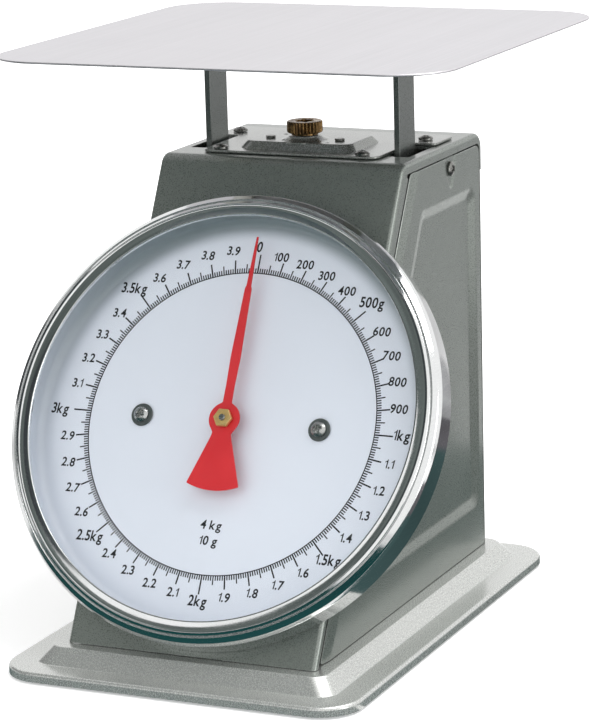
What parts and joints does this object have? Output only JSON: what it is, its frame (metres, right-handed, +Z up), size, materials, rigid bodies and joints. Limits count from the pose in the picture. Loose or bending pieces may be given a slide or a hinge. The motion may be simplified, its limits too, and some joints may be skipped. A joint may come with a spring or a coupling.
{
  "type": "dial platform scale",
  "caption": "Mechanical dial weighing scale: flat tray on two pillars, parallel levers and springs inside, rack and pinion turning a pointer over a round dial.",
  "frame": {"origin": "centre of the bounding box at floor level, under the feet", "axes": "+Z up, the dial faces -Y, +X to the right seen from the front"},
  "size_m": [0.23, 0.284, 0.282],
  "materials": {
    "body_paint": "satin metallic grey-green",
    "base_paint": "satin light grey",
    "pillar_paint": "satin grey-green",
    "stainless": "fine brushed",
    "chrome": "polished",
    "plated_steel": "zinc plated",
    "bright_steel": "bright",
    "brass": "machined",
    "rubber": "matt black",
    "pointer_red": "satin red",
    "dial_white": "satin pale bluish white",
    "clear_lens": "clear"
  },
  "bodies": {
    "root": {"housing_wrap": "body_paint", "side_panel_left": "body_paint", "side_panel_right": "body_paint", "rear_panel": "body_paint", "top_plate": "body_paint", "base_plate": "base_paint", "bezel": "chrome", "dial_case": "plated_steel", "mechanism_frame": "plated_steel", "spindle_bracket": "plated_steel", "plate_screw_front_left": "bright_steel", "plate_screw_front_right": "bright_steel", "plate_screw_rear_left": "bright_steel", "plate_screw_rear_right": "bright_steel", "side_screw_left": "bright_steel", "side_screw_right": "bright_steel", "dial_screw_left": "bright_steel", "dial_screw_right": "bright_steel", "guide_stud_left": "bright_steel", "guide_stud_right": "bright_steel", "lower_frame_pin": "bright_steel", "upper_frame_pin": "bright_steel", "spindle_bush": "brass", "foot_front_left": "rubber", "foot_front_right": "rubber", "foot_rear_left": "rubber", "foot_rear_right": "rubber", "dial_washer_left": "rubber", "dial_washer_right": "rubber", "lens_gasket": "rubber", "dial_plate": "dial_white", "lens": "clear_lens"},
    "lower_lever": {"lower_lever": "plated_steel"},
    "upper_lever": {"upper_lever": "plated_steel"},
    "carriage": {"carrier": "plated_steel", "lower_carrier_pin": "bright_steel", "upper_carrier_pin": "bright_steel", "rack": "brass", "pillar_left": "pillar_paint", "pillar_right": "pillar_paint", "tray_bar_left": "plated_steel", "tray_bar_right": "plated_steel", "tray_cross_bar": "plated_steel", "grommet_front_left": "rubber", "grommet_front_right": "rubber", "grommet_rear_left": "rubber", "grommet_rear_right": "rubber"},
    "pan": {"tray": "stainless"},
    "pointer_shaft": {"spindle": "bright_steel", "pinion": "brass", "pointer": "pointer_red", "pointer_nut": "brass"},
    "zero_adjuster": {"zero_knob": "brass", "zero_screw": "bright_steel"},
    "spring_bar": {"spring_hanger": "plated_steel", "spring_left": "bright_steel", "spring_right": "bright_steel"}
  },
  "joints": [
    {"name": "lower_lever_swing", "type": "hinge", "parent": "root", "child": "lower_lever", "pos_m": [0, 0.08435, 0.0662], "axis": [1, 0, 0], "range_deg": [0, 16.47], "stiffness_Nm_per_rad": 10.95, "springref_deg": -3.78, "deforming": ["spring_left", "spring_right"]},
    {"name": "carriage_swing", "type": "hinge", "parent": "lower_lever", "child": "carriage", "pos_m": [0, 0.00517, 0.07766], "axis": [1, 0, 0], "range_deg": [-16.57, 0.1]},
    {"name": "upper_lever_swing", "type": "hinge", "parent": "root", "child": "upper_lever", "pos_m": [0, 0.08435, 0.1792], "axis": [1, 0, 0], "range_deg": [-0.1, 16.57]},
    {"name": "pointer_turn", "type": "hinge", "parent": "root", "child": "pointer_shaft", "pos_m": [0, -0.06297, 0.111], "axis": [0, -0.8771, 0.4802], "range_deg": [-361, 1]},
    {"name": "tray_lift", "type": "slide", "parent": "carriage", "child": "pan", "axis": [0, 0, 1], "range_m": [0, 0.012]},
    {"name": "spring_bar_slide", "type": "slide", "parent": "root", "child": "spring_bar", "axis": [0, 0, 1], "range_m": [-0.002, 0.002]},
    {"name": "zero_turn", "type": "hinge", "parent": "root", "child": "zero_adjuster", "pos_m": [0, 0.02895, 0.2336], "axis": [0, 0, 1], "range_deg": [-721, 721]}
  ],
  "couplings": [
    {"joint": "carriage_swing", "follows": "lower_lever_swing", "ratio": -1},
    {"joint": "upper_lever_swing", "follows": "lower_lever_swing", "ratio": 1},
    {"joint": "pointer_turn", "follows": "lower_lever_swing", "ratio": -21.853},
    {"joint": "zero_turn", "follows": "spring_bar_slide", "rad_per_m": -6283.2}
  ]
}
